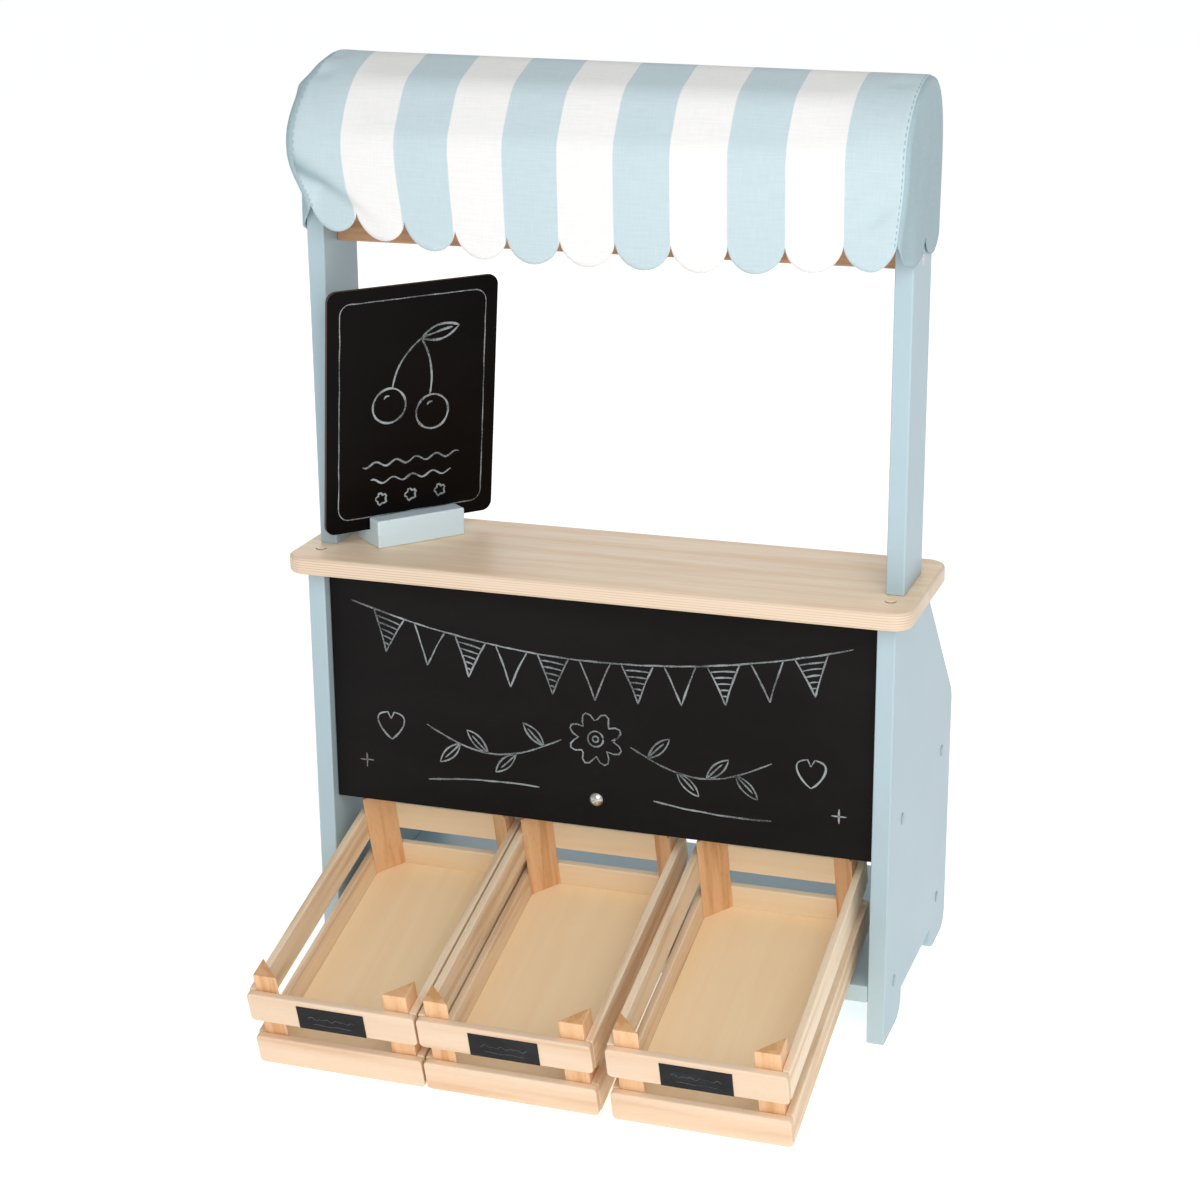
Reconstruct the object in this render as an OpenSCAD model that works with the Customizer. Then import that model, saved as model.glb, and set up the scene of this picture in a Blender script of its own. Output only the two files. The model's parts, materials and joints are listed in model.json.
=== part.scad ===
// Toy market stall: a painted counter on two side panels, two posts with a
// barrel-shaped striped awning, three slatted crates leaning on the bottom
// shelf and a small menu board in a slotted foot.
// Millimetres, +Z up, front towards -Y, origin under the middle of the whole.

/* [Boards] */
// Width over the two side panels
stall_w = 400; // [340:1:460]
// Thickness of the panels, shelves, posts and roof ends
board_t = 12; // [9:0.5:15]
// Depth of a side panel at the floor
panel_d = 196; // [180:1:230]
// Depth of a side panel under the counter
panel_top_d = 90; // [80:1:110]
// Height at which the rear edge starts to slant forward
panel_kink_z = 180; // [160:1:200]
// Radius that eases the bend of the rear edge
panel_kink_r = 18; // [5:1:30]
// Radius of the rear bottom corner
panel_heel_r = 12; // [4:1:18]
// Length of the front foot
foot_front = 50; // [40:1:60]
// Length of the rear foot
foot_rear = 52; // [40:1:60]
// Height of the arch between the feet
arch_h = 18; // [10:1:24]
// Radius on the inner corner of a foot
foot_r = 14; // [6:1:16]

/* [Counter] */
// Height of the counter top above the floor
counter_z = 302; // [290:1:330]
// Thickness of the counter
counter_t = 12; // [9:0.5:18]
// Depth of the counter
counter_d = 122; // [118:1:140]
// Overhang in front of the side panels
counter_front = 14; // [8:0.5:20]
// Overhang beyond each side panel
counter_side = 11; // [6:0.5:20]
// Radius of the counter's corners in plan
counter_r = 14; // [5:0.5:20]
// Diameter of the wooden plugs over the counter screws
plug_d = 7; // [5:0.5:9]
// Depth of the plugs
plug_l = 4; // [3:0.5:6]
// Length of the counter screws
counter_screw_l = 36; // [28:1:45]
// Distance of the plugs from the panel's front and rear edges
plug_front = 10; // [8:0.5:18]

/* [Shelves] */
// Height of the bottom shelf's upper face
bottom_shelf_z = 41; // [36:0.5:50]
// Distance of the shelves' rear edges from the panels' rear edges
shelf_rear_gap = 6; // [2:0.5:12]
// Diameter of the cover caps on the shelf screws
cap_d = 8; // [6:0.5:10]
// Thickness of a cover cap
cap_t = 1.5; // [1:0.1:2]
// Length of a shelf screw's shank
shelf_screw_l = 38; // [30:1:45]
// Diameter of a shelf screw's shank
shelf_screw_d = 5; // [3:0.5:6]
// Distance of the screws from a shelf's front and rear edges
shelf_screw_inset = 26; // [20:1:45]

/* [Chalkboard] */
// Setback of the chalkboard behind the panels' front edges
chalk_setback = 7; // [4:0.5:12]
// Thickness of the chalkboard
chalk_t = 4; // [3:0.5:6]
// Gap between the chalkboard and each panel
chalk_gap = 0.5; // [0.2:0.1:1]
// Height of the fixing screw above the chalkboard's lower edge
chalk_screw_up = 20; // [14:1:26]
// Diameter of the fixing screw's pan head
chalk_head_d = 9.5; // [7:0.5:12]
// Height of the pan head
chalk_head_h = 2.6; // [1.5:0.1:4]
// Diameter of the fixing screw's shank
chalk_screw_d = 4; // [3:0.5:5]
// Length of the fixing screw's shank
chalk_screw_l = 24; // [16:1:30]

/* [Posts and rail] */
// Distance of the posts behind the panels' front edges
post_setback = 22; // [16:1:30]
// Depth of a post
post_d = 52; // [40:1:60]
// Height of the posts' tops above the roof arch's centre
post_lap = 24; // [10:1:30]
// Diameter of the dowels under a post
dowel_d = 6; // [5:0.5:8]
// Length of a dowel in the post and in the panel
dowel_grip = 22; // [15:1:30]
// Height of the rail's lower edge above the counter
rail_up = 202; // [190:1:210]
// Height of the cross rail
rail_h = 24; // [16:1:26]
// Thickness of the cross rail
rail_t = 12; // [9:0.5:15]
// Diameter of the rail and roof screws' shanks
screw_d = 4; // [3:0.5:5]
// Diameter of their flat heads
screw_head_d = 8; // [6:0.5:9]
// Depth of their flat heads
screw_head_t = 2.5; // [2:0.1:3]
// Length of a rail screw
rail_screw_l = 36; // [26:1:45]

/* [Roof] */
// Radius of the roof ends' arch
roof_r = 48.5; // [44:0.5:54]
// Height of the roof arch's centre above the counter
roof_up = 269; // [255:1:275]
// Distance of the roof's middle in front of the posts' middle
roof_forward = 5; // [0:0.5:8]
// Length of the roof ends below the arch's centre
roof_skirt = 14; // [11:0.5:18]
// Radius of the roof ends' lower corners
roof_corner_r = 10; // [4:0.5:12]
// Diameter of the roof bars
bar_d = 10; // [8:0.5:12]
// Depth of the bars' sockets in the roof ends
bar_socket = 8; // [5:0.5:9]
// Wood left between the sockets and the rim of the arch
bar_rim = 2.5; // [2:0.5:4]
// Angle from one bar to the next, counted from the top of the arch
bar_angle = 42; // [36:1:46]

/* [Awning] */
// Thickness of the awning's cloth
cloth_t = 1.2; // [0.8:0.1:2]
// Slack between the cloth and the frame
cloth_gap = 0.4; // [0.2:0.1:1]
// Length of the front and rear skirts from the arch's centre to the notches
skirt_l = 50; // [38:1:55]
// Number of stripes, with one scallop each
stripes = 11; // [7:2:15]
// Depth of the scallops
scallop_h = 17; // [10:0.5:18]
// Number of scallops on each end panel
end_scallops = 2; // [2:1:4]

/* [Crates] */
// Tilt of the crates
crate_tilt = 16; // [13:0.5:18]
// Length of a crate along its floor
crate_l = 209; // [180:1:220]
// Mean gap between a panel and the crate next to it
crate_side_gap = 10; // [4:0.5:14]
// Shift of the row of crates to the left
crate_shift = 1.5; // [0:0.5:3]
// Gap between the left and the middle crate
crate_gap_left = 1.5; // [1:0.5:6]
// Gap between the middle and the right crate
crate_gap_right = 9; // [1:0.5:12]
// Thickness of the slats
slat_t = 5; // [4:0.5:6]
// Height of a slat
slat_h = 22.5; // [18:0.5:26]
// Gap between the lower and the upper slat
slat_gap = 13.5; // [6:0.5:16]
// Radius of the slats' corners
slat_r = 3; // [1:0.5:5]
// Thickness of a crate's floor
crate_floor_t = 5; // [3:0.5:6]
// Height of the triangular corner posts
corner_h = 71; // [64:0.5:76]
// Length of the corner posts' legs
corner_leg = 16.5; // [14:0.5:22]
// Width of the chalk labels
label_w = 46; // [30:1:60]
// Height of the chalk labels
label_h = 18; // [10:0.5:20]
// Thickness of the chalk labels
label_t = 0.4; // [0.3:0.1:1]
// Distance of a label from the lower edge of its slat
label_up = 0.5; // [0.5:0.5:4]
// Gap between a crate and the shelf edge it leans on
lean_gap = 0.3; // [0.2:0.1:1]
// Room between the crates and the chalkboard above them
crate_head_room = 1.5; // [1:0.5:12]

/* [Menu board] */
// Width of the menu board
menu_w = 125; // [100:1:130]
// Height of the menu board
menu_h = 167.5; // [140:0.5:175]
// Thickness of the menu board
menu_t = 3; // [2.5:0.1:4]
// Radius of the menu board's corners
menu_r = 7; // [3:0.5:12]
// Turn of the menu board about the vertical
menu_turn = 49.8; // [45.5:0.1:60]
// Lean of the menu board to its front
menu_lean = 6.2; // [0:0.1:8]
// Length of the foot
menu_foot_l = 65; // [50:1:80]
// Distance of the foot's middle from the board's middle, along the board
menu_foot_shift = 1.5; // [0:0.5:6]
// Depth of the foot
menu_foot_d = 32; // [24:0.5:36]
// Height of the foot
menu_foot_h = 19; // [15:0.5:24]
// Depth of the slot in the foot
menu_slot = 9; // [6:0.5:12]
// Clearance of the board on each side of its slot
menu_gap = 0.3; // [0.2:0.1:0.5]
// Distance of the board's middle from the left post's inner face
menu_x = 39.5; // [38:0.5:60]
// Distance of the board's middle behind the left post's front face
menu_y = 31.7; // [26:0.1:36]

/* [Hidden] */
$fn = 48;
eps = 0.01;

side_x = stall_w / 2;
inner_x = side_x - board_t;
panel_h = counter_z - counter_t;
slant_angle = atan2(panel_d - panel_top_d, panel_h - panel_kink_z);
counter_w = stall_w + 2 * counter_side;
plug_rear_y = panel_top_d - plug_front;

slat_top = 2 * slat_h + slat_gap;
crate_w = (2 * inner_x - 2 * crate_side_gap - crate_gap_left - crate_gap_right) / 3;
crate_y = -(bottom_shelf_z + lean_gap / cos(crate_tilt)) / tan(crate_tilt);
crate_left_x = crate_side_gap - inner_x - crate_shift;
crate_middle_x = crate_left_x + crate_w + crate_gap_left;
crate_right_x = crate_middle_x + crate_w + crate_gap_right;
crate_top_z = (crate_l - slat_t) * sin(crate_tilt) + corner_h * cos(crate_tilt);

chalk_z = crate_top_z + crate_head_room;
chalk_rear_y = chalk_setback + chalk_t;
middle_shelf_z = chalk_z + chalk_screw_up + board_t / 2;
shelf_rear_y = panel_d - shelf_rear_gap;

post_mid_y = post_setback + post_d / 2;
dowel_pitch = post_d / 2;
rail_z = counter_z + rail_up;
roof_z = counter_z + roof_up;
roof_mid_y = post_mid_y - roof_forward;
roof_low_z = roof_z - roof_skirt;
post_h = roof_up + post_lap;
bar_r = roof_r - bar_d / 2 - bar_rim;
roof_screw_l = 2 * board_t - 2;
roof_inner_x = inner_x - board_t;

cloth_in = roof_r + cloth_gap;
cloth_out = cloth_in + cloth_t;
hem_z = roof_z - skirt_l;
cover_x = side_x + cloth_gap;

menu_slot_z = counter_z + menu_foot_h - menu_slot;
menu_slot_front = menu_t / 2 / cos(menu_lean) + menu_slot * tan(menu_lean) + menu_gap;
menu_slot_rear = menu_t / 2 + menu_gap;
menu_mid = [-inner_x + menu_x, post_setback + menu_y];

front_y = crate_y - max(slat_top * sin(crate_tilt), corner_h * sin(crate_tilt) - slat_t * cos(crate_tilt));
middle_y = (front_y + panel_d) / 2;

paint_blue = "#bcd3dd";
ply_cream = "#ecd9b4";
beech_tan = "#d3a878";
chalk_black = "#262322";
steel_grey = "#b9bbbd";
cloth_blue = "#a9cbd8";
cap_blue = "#a9c1cc";

// Shared shapes

// Points along an arc in the plane
function arc(centre, r, from, to, steps = 8) = [
    for (i = [0 : steps]) centre + r * [cos(from + (to - from) * i / steps), sin(from + (to - from) * i / steps)]
];

// Moves what is measured from the panels' front edges to the origin
module stall() {
    translate([0, -middle_y, 0]) children();
}

// Stands a profile drawn in depth and height upright, from x0 over a width w
module upright(x0, w) {
    translate([x0, 0, 0]) rotate([90, 0, 90]) linear_extrude(w) children();
}

// Rectangle with rounded corners, its lower left corner at the origin
module rounded_rect(w, h, r) {
    translate([r, 0]) square([w - 2 * r, h]);
    translate([0, r]) square([w, h - 2 * r]);
    for (x = [r, w - r], y = [r, h - r]) translate([x, y]) circle(r);
}

// What a rounding takes off a lower left corner
module corner_cut(r) {
    difference() {
        square([r, r]);
        translate([r, r]) circle(r);
    }
}

// Rod along +X from a point
module rod_x(from, d, l) {
    translate(from) rotate([0, 90, 0]) cylinder(d = d, h = l);
}

// Mirrors what is on the right to the left
module both_sides() {
    children();
    mirror([1, 0, 0]) children();
}

// Side panels

module foot_arch_2d() {
    arch_l = panel_d - foot_front - foot_rear;
    corner_r = min(foot_r, arch_h);
    translate([foot_front, -1]) square([arch_l, arch_h + 1]);
    translate([foot_front, 0]) mirror([1, 0]) corner_cut(corner_r);
    translate([foot_front + arch_l, 0]) corner_cut(corner_r);
}

module panel_2d() {
    ease = panel_kink_r * tan(slant_angle / 2);
    kink_centre = [panel_d - panel_kink_r, panel_kink_z - ease];
    heel_centre = [panel_d - panel_heel_r, panel_heel_r];
    difference() {
        polygon(concat(
            [[0, 0], [panel_d - panel_heel_r, 0]],
            arc(heel_centre, panel_heel_r, -90, 0),
            arc(kink_centre, panel_kink_r, 0, slant_angle),
            [[panel_top_d, panel_h], [0, panel_h]]
        ));
        foot_arch_2d();
    }
}

// Places of a shelf's screws along its depth
function screw_rows(front) = [front + shelf_screw_inset, shelf_rear_y - shelf_screw_inset];

module at_shelf_screws() {
    for (y = screw_rows(0)) translate([0, y, bottom_shelf_z - board_t / 2]) children();
    for (y = screw_rows(chalk_rear_y)) translate([0, y, middle_shelf_z - board_t / 2]) children();
}

module at_post_dowels() {
    for (s = [-1, 1]) translate([side_x - board_t / 2, post_mid_y + s * dowel_pitch / 2, 0]) children();
}

module at_counter_screws() {
    for (y = [plug_front, plug_rear_y]) translate([side_x - board_t / 2, y, 0]) children();
}

// Outer shape of a shelf screw that points to -X from the panel's face
module shelf_screw() {
    rod_x([side_x - cap_t, 0, 0], cap_d, cap_t);
    rod_x([side_x - cap_t - shelf_screw_l, 0, 0], shelf_screw_d, shelf_screw_l + eps);
}

module counter_screw(l = counter_screw_l) {
    head_z = counter_z - plug_l;
    translate([0, 0, head_z - screw_head_t]) cylinder(d = plug_d, h = screw_head_t);
    translate([0, 0, head_z - l]) cylinder(d = screw_d, h = l);
}

module post_dowel() {
    translate([0, 0, panel_h - dowel_grip]) cylinder(d = dowel_d, h = counter_t + 2 * dowel_grip);
}

module right_panel() {
    difference() {
        upright(inner_x, board_t) panel_2d();
        at_shelf_screws() shelf_screw();
        at_post_dowels() post_dowel();
        at_counter_screws() counter_screw();
    }
}

module side_panel_right() {
    color(paint_blue) stall() right_panel();
}

module side_panel_left() {
    color(paint_blue) stall() mirror([1, 0, 0]) right_panel();
}

// Shelves

module shelf(front, top) {
    difference() {
        translate([-inner_x, front, top - board_t]) cube([2 * inner_x, shelf_rear_y - front, board_t]);
        both_sides() at_shelf_screws() shelf_screw();
        chalk_screw();
    }
}

module bottom_shelf() {
    color(paint_blue) stall() shelf(0, bottom_shelf_z);
}

module middle_shelf() {
    color(paint_blue) stall() shelf(chalk_rear_y, middle_shelf_z);
}

module shelf_screws() {
    color(cap_blue) stall() both_sides() at_shelf_screws() shelf_screw();
}

// Counter

module counter_top() {
    color(ply_cream) stall() difference() {
        translate([-counter_w / 2, -counter_front, panel_h]) linear_extrude(counter_t)
            rounded_rect(counter_w, counter_d, counter_r);
        both_sides() {
            at_post_dowels() post_dowel();
            at_counter_screws() counter_screw();
            at_counter_screws() counter_plug();
        }
    }
}

module counter_plug() {
    translate([0, 0, counter_z - plug_l]) cylinder(d = plug_d, h = plug_l);
}

module counter_screws() {
    color(steel_grey) stall() both_sides() at_counter_screws() counter_screw();
}

module counter_plugs() {
    color(beech_tan) stall() both_sides() at_counter_screws() counter_plug();
}

// Chalkboard

module chalk_screw() {
    translate([0, chalk_setback, chalk_z + chalk_screw_up]) rotate([-90, 0, 0])
        cylinder(d = chalk_screw_d, h = chalk_screw_l);
}

module front_chalkboard() {
    w = 2 * (inner_x - chalk_gap);
    color(chalk_black) stall() difference() {
        translate([-w / 2, chalk_setback, chalk_z]) cube([w, chalk_t, panel_h - chalk_z]);
        chalk_screw();
    }
}

// Domed pan head with a cross recess on a plain shank
module chalkboard_screw() {
    dome_r = (pow(chalk_head_d / 2, 2) + pow(chalk_head_h, 2)) / (2 * chalk_head_h);
    slot_w = chalk_head_d / 8;
    color(steel_grey) stall() {
        chalk_screw();
        translate([0, chalk_setback, chalk_z + chalk_screw_up]) rotate([90, 0, 0]) difference() {
            intersection() {
                cylinder(d = chalk_head_d, h = chalk_head_h);
                translate([0, 0, chalk_head_h - dome_r]) sphere(dome_r);
            }
            for (a = [45, 135]) rotate(a) translate([-chalk_head_d / 4, -slot_w / 2, chalk_head_h / 2])
                cube([chalk_head_d / 2, slot_w, chalk_head_h]);
        }
    }
}

// Posts and rail

module at_rail_screws() {
    for (s = [-1, 1]) translate([0, post_mid_y, rail_z + rail_h / 2 + s * rail_h / 4]) children();
}

module at_roof_screws() {
    for (s = [-1, 1]) translate([0, post_mid_y + s * post_d / 4, roof_z]) children();
}

// Flat-headed screw that points to -X from a post's outer face
module face_screw(l) {
    rod_x([side_x - screw_head_t, 0, 0], screw_head_d, screw_head_t);
    rod_x([side_x - l, 0, 0], screw_d, l - screw_head_t + eps);
}

module right_post() {
    difference() {
        translate([inner_x, post_setback, counter_z]) cube([board_t, post_d, post_h]);
        at_post_dowels() post_dowel();
        at_rail_screws() face_screw(rail_screw_l);
        at_roof_screws() face_screw(roof_screw_l);
    }
}

module post_right() {
    color(paint_blue) stall() right_post();
}

module post_left() {
    color(paint_blue) stall() mirror([1, 0, 0]) right_post();
}

module post_dowels() {
    color(beech_tan) stall() both_sides() at_post_dowels() post_dowel();
}

module cross_rail() {
    color(beech_tan) stall() difference() {
        translate([-inner_x, post_mid_y - rail_t / 2, rail_z]) cube([2 * inner_x, rail_t, rail_h]);
        both_sides() at_rail_screws() face_screw(rail_screw_l);
    }
}

module rail_screws() {
    color(steel_grey) stall() both_sides() at_rail_screws() face_screw(rail_screw_l);
}

// Roof frame

// Half-round arch over straight sides that end at a height
module arch_2d(r, bottom) {
    difference() {
        union() {
            translate([roof_mid_y, roof_z]) circle(r);
            translate([roof_mid_y - r, bottom]) square([2 * r, roof_z - bottom]);
        }
        translate([roof_mid_y - 2 * r, bottom - 2 * r]) square([4 * r, 2 * r]);
    }
}

// Bar number step along the arch: 0 at the top, 2 low at the front, -2 low at the rear
module roof_bar(step) {
    l = 2 * (roof_inner_x + bar_socket);
    translate([0, roof_mid_y, roof_z]) rotate([step * bar_angle, 0, 0]) rod_x([-l / 2, 0, bar_r], bar_d, l);
}

module roof_end_2d() {
    difference() {
        arch_2d(roof_r, roof_low_z);
        translate([roof_mid_y - roof_r, roof_low_z]) corner_cut(roof_corner_r);
        translate([roof_mid_y + roof_r, roof_low_z]) mirror([1, 0]) corner_cut(roof_corner_r);
    }
}

module right_roof_end() {
    difference() {
        upright(roof_inner_x, board_t) roof_end_2d();
        for (step = [-2 : 2]) roof_bar(step);
        at_roof_screws() face_screw(roof_screw_l);
    }
}

module roof_end_right() {
    color(beech_tan) stall() right_roof_end();
}

module roof_end_left() {
    color(beech_tan) stall() mirror([1, 0, 0]) right_roof_end();
}

module roof_end_screws() {
    color(steel_grey) stall() both_sides() at_roof_screws() face_screw(roof_screw_l);
}

module roof_bar_node(step) {
    color(beech_tan) stall() roof_bar(step);
}

// Awning

// Notches that leave round scallops along a hem of width w, drawn around the hem line
module hem_notches_2d(w, count) {
    pitch = w / count;
    r = (pow(pitch / 2, 2) + pow(scallop_h, 2)) / (2 * scallop_h);
    difference() {
        translate([-1, -scallop_h - 1]) square([w + 2, scallop_h + 1]);
        for (i = [0 : count - 1]) translate([pitch * (i + 0.5), r - scallop_h]) circle(r);
    }
}

module awning_cover() {
    w = 2 * cover_x;
    hem_low_z = hem_z - scallop_h;
    color(cloth_blue) stall() difference() {
        upright(-cover_x, w) arch_2d(cloth_out, hem_low_z);
        upright(-cover_x - 1, w + 2) arch_2d(cloth_in, hem_low_z - 1);
        translate([-cover_x, roof_mid_y + 2 * cloth_out, hem_z]) rotate([90, 0, 0])
            linear_extrude(4 * cloth_out) hem_notches_2d(w, stripes);
    }
}

module right_awning_end() {
    upright(cover_x, cloth_t) difference() {
        arch_2d(cloth_out, hem_z - scallop_h);
        translate([roof_mid_y - cloth_out, hem_z]) hem_notches_2d(2 * cloth_out, end_scallops);
    }
}

module awning_end_right() {
    color(cloth_blue) stall() right_awning_end();
}

module awning_end_left() {
    color(cloth_blue) stall() mirror([1, 0, 0]) right_awning_end();
}

// Crates

// Tilts a crate that starts at x, so that it leans on the bottom shelf's front edge
module crate_at(x) {
    stall() translate([x, crate_y, 0]) rotate([crate_tilt, 0, 0]) children();
}

module crate_floor() {
    translate([slat_t, slat_t, 0]) cube([crate_w - 2 * slat_t, crate_l - 2 * slat_t, crate_floor_t]);
}

// Right-angled prisms that stand on the floor in the four corners
module corner_posts() {
    for (side = [0, 1], end = [0, 1])
        translate([crate_w / 2, crate_l / 2, crate_floor_t]) mirror([side, 0, 0]) mirror([0, end, 0])
            translate([slat_t - crate_w / 2, slat_t - crate_l / 2, 0])
                linear_extrude(corner_h - crate_floor_t)
                    polygon([[0, 0], [corner_leg, 0], [0, corner_leg]]);
}

// Lower and upper slat across the crate's full width
module end_slats() {
    for (z = [0, slat_h + slat_gap]) translate([0, slat_t, z]) rotate([90, 0, 0]) linear_extrude(slat_t)
        rounded_rect(crate_w, slat_h, slat_r);
}

// Slats between the end slats
module side_slats() {
    for (x = [0, crate_w - slat_t], z = [0, slat_h + slat_gap])
        translate([x, slat_t, z]) cube([slat_t, crate_l - 2 * slat_t, slat_h]);
}

module chalk_label() {
    translate([(crate_w - label_w) / 2, 0, slat_h + slat_gap + label_up]) rotate([90, 0, 0])
        linear_extrude(label_t) square([label_w, label_h]);
}

module crate_floor_node(x) {
    color(ply_cream) crate_at(x) crate_floor();
}

module crate_posts_node(x) {
    color(beech_tan) crate_at(x) corner_posts();
}

module crate_front_node(x) {
    color(ply_cream) crate_at(x) end_slats();
}

module crate_rear_node(x) {
    color(ply_cream) crate_at(x) translate([0, crate_l - slat_t, 0]) end_slats();
}

module crate_side_node(x) {
    color(ply_cream) crate_at(x) side_slats();
}

module crate_label_node(x) {
    color(chalk_black) crate_at(x) chalk_label();
}

// Menu board

module menu_at(z) {
    stall() translate([menu_mid.x, menu_mid.y, z]) rotate(menu_turn) children();
}

module menu_foot() {
    foot_x = menu_foot_shift - menu_foot_l / 2;
    foot_y = (menu_slot_rear - menu_slot_front - menu_foot_d) / 2;
    color(paint_blue) menu_at(counter_z) difference() {
        translate([foot_x, foot_y, 0]) cube([menu_foot_l, menu_foot_d, menu_foot_h]);
        translate([foot_x - 1, -menu_slot_front, menu_foot_h - menu_slot])
            cube([menu_foot_l + 2, menu_slot_front + menu_slot_rear, menu_slot + 1]);
    }
}

// Leans on the front edge of the slot and stands on its floor with the front lower edge
module menu_board() {
    rest_z = menu_slot_z + menu_t / 2 * sin(menu_lean);
    color(chalk_black) menu_at(rest_z) rotate([menu_lean, 0, 0]) translate([-menu_w / 2, menu_t / 2, 0])
        rotate([90, 0, 0]) linear_extrude(menu_t) rounded_rect(menu_w, menu_h, menu_r);
}

side_panel_left();
side_panel_right();
bottom_shelf();
middle_shelf();
shelf_screws();
counter_top();
counter_screws();
counter_plugs();
front_chalkboard();
chalkboard_screw();
post_left();
post_right();
post_dowels();
cross_rail();
rail_screws();
roof_end_left();
roof_end_right();
roof_end_screws();
roof_bar_node(2);  // roof_bar_front_low
roof_bar_node(1);  // roof_bar_front
roof_bar_node(0);  // roof_bar_top
roof_bar_node(-1);  // roof_bar_rear
roof_bar_node(-2);  // roof_bar_rear_low
awning_cover();
awning_end_left();
awning_end_right();
crate_floor_node(crate_left_x);  // crate_left_floor
crate_posts_node(crate_left_x);  // crate_left_posts
crate_front_node(crate_left_x);  // crate_left_front_slats
crate_rear_node(crate_left_x);  // crate_left_rear_slats
crate_side_node(crate_left_x);  // crate_left_side_slats
crate_label_node(crate_left_x);  // crate_left_label
crate_floor_node(crate_middle_x);  // crate_middle_floor
crate_posts_node(crate_middle_x);  // crate_middle_posts
crate_front_node(crate_middle_x);  // crate_middle_front_slats
crate_rear_node(crate_middle_x);  // crate_middle_rear_slats
crate_side_node(crate_middle_x);  // crate_middle_side_slats
crate_label_node(crate_middle_x);  // crate_middle_label
crate_floor_node(crate_right_x);  // crate_right_floor
crate_posts_node(crate_right_x);  // crate_right_posts
crate_front_node(crate_right_x);  // crate_right_front_slats
crate_rear_node(crate_right_x);  // crate_right_rear_slats
crate_side_node(crate_right_x);  // crate_right_side_slats
crate_label_node(crate_right_x);  // crate_right_label
menu_foot();
menu_board();
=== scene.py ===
import json
import math
import random

import bmesh
import bpy
from mathutils import Matrix, Vector, noise

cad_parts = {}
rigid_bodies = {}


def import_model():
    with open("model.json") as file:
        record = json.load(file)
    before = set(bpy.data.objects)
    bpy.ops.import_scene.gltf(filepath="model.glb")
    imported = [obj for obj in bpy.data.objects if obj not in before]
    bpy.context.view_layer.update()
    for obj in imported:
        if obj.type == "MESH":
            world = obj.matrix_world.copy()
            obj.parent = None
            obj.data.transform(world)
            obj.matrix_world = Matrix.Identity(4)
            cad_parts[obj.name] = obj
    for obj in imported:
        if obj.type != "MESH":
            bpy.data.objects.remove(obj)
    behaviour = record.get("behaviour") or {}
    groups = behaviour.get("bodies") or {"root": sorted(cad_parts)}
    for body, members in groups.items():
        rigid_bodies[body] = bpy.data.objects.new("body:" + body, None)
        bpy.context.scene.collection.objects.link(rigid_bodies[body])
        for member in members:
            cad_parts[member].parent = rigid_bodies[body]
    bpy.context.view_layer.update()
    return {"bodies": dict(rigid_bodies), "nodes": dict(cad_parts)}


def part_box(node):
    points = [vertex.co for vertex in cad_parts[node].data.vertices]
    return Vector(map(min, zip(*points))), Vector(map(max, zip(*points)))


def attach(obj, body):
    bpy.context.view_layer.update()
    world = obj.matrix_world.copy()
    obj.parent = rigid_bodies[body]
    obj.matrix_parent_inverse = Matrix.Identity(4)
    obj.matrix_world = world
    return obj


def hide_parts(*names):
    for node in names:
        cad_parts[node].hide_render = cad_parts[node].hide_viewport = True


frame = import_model()

# Studio: a plain pale paper floor in soft light, mostly from the front, and the
# camera where the photograph was taken, with a 75 mm lens on a 36 mm sensor.
scene = bpy.context.scene
kept = set(frame["nodes"].values()) | set(frame["bodies"].values())
for leftover in [o for o in bpy.data.objects if o not in kept]:
    bpy.data.objects.remove(leftover)
scene.view_settings.view_transform = "Standard"
scene.view_settings.look = "None"

CAMERA_AT = Vector((0.5038, -1.46270, 0.7840))
CAMERA_AZIMUTH = math.radians(18.996)
CAMERA_ELEVATION = math.radians(17.981)
CAMERA_ROLL = -0.00915


def towards(azimuth, elevation):
    """Direction from the stall to something seen at an azimuth from the front and an elevation."""
    flat = math.cos(elevation)
    return Vector((math.sin(azimuth) * flat, -math.cos(azimuth) * flat, math.sin(elevation)))


def placed(name, data):
    """A new object in the scene."""
    made = bpy.data.objects.new(name, data)
    scene.collection.objects.link(made)
    return made


back = towards(CAMERA_AZIMUTH, CAMERA_ELEVATION)
level = Vector((0, 0, 1)).cross(back).normalized()
upright = back.cross(level)
camera_right = math.cos(CAMERA_ROLL) * level + math.sin(CAMERA_ROLL) * upright
camera_up = back.cross(camera_right)
camera_data = bpy.data.cameras.new("camera")
camera_data.sensor_width = 36.0
camera_data.lens = 75.0
camera = placed("camera", camera_data)
turn = Matrix((camera_right, camera_up, back)).transposed().to_4x4()
camera.matrix_world = Matrix.Translation(CAMERA_AT) @ turn
scene.camera = camera


def linear(code):
    """An sRGB hex colour as linear RGBA."""
    parts = [int(code[i:i + 2], 16) / 255 for i in (1, 3, 5)]
    return tuple(c / 12.92 if c < 0.04045 else ((c + 0.055) / 1.055) ** 2.4 for c in parts) + (1.0,)


# A Mix of colours takes its factor at 0 and the colours at 6 and 7, and gives one at 2.
# A MapRange takes a value at 0, the range that it lies in at 1 and 2 and a new one at 3 and 4.
def add(tree, kind, inputs=None, **settings):
    """Adds a node: settings are its own, and an input takes a value, a socket or a node's first socket."""
    made = tree.nodes.new("ShaderNode" + kind)
    for name, value in settings.items():
        setattr(made, name, value)
    for name, value in (inputs or {}).items():
        if isinstance(value, bpy.types.Node):
            value = value.outputs[0]
        if isinstance(value, bpy.types.NodeSocket):
            tree.links.new(value, made.inputs[name])
        else:
            made.inputs[name].default_value = value
    return made


def surface(name):
    """An empty node material and its tree."""
    material = bpy.data.materials.new(name)
    material.use_nodes = True
    material.node_tree.nodes.clear()
    return material, material.node_tree


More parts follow.
